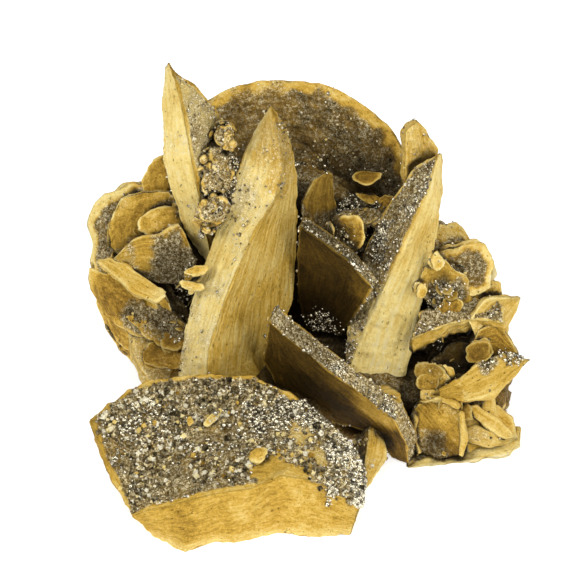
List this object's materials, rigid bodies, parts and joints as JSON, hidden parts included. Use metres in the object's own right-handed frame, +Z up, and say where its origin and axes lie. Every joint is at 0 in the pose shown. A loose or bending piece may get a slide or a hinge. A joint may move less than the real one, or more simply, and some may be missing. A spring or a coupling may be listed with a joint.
{
  "type": "siderite specimen",
  "caption": "Free-standing mineral specimen: tall bladed, slab-like and lens-shaped siderite crystals grown together, crusted with fine pyrite and cut flat underneath.",
  "frame": {"origin": "middle of the bounding box, on the flat underside that it rests on", "axes": "+Z up from the flat underside, +X to the right along the widest side, -Y towards the front with the thick slab"},
  "size_m": [0.0774, 0.0661, 0.0714],
  "materials": {
    "siderite": "dull to silky, golden brown, paler along the edges, brown to grey-black crust in the hollows",
    "pyrite": "small metallic pale brassy grains"
  },
  "bodies": {
    "root": {"siderite_cluster": "siderite"}
  },
  "joints": []
}
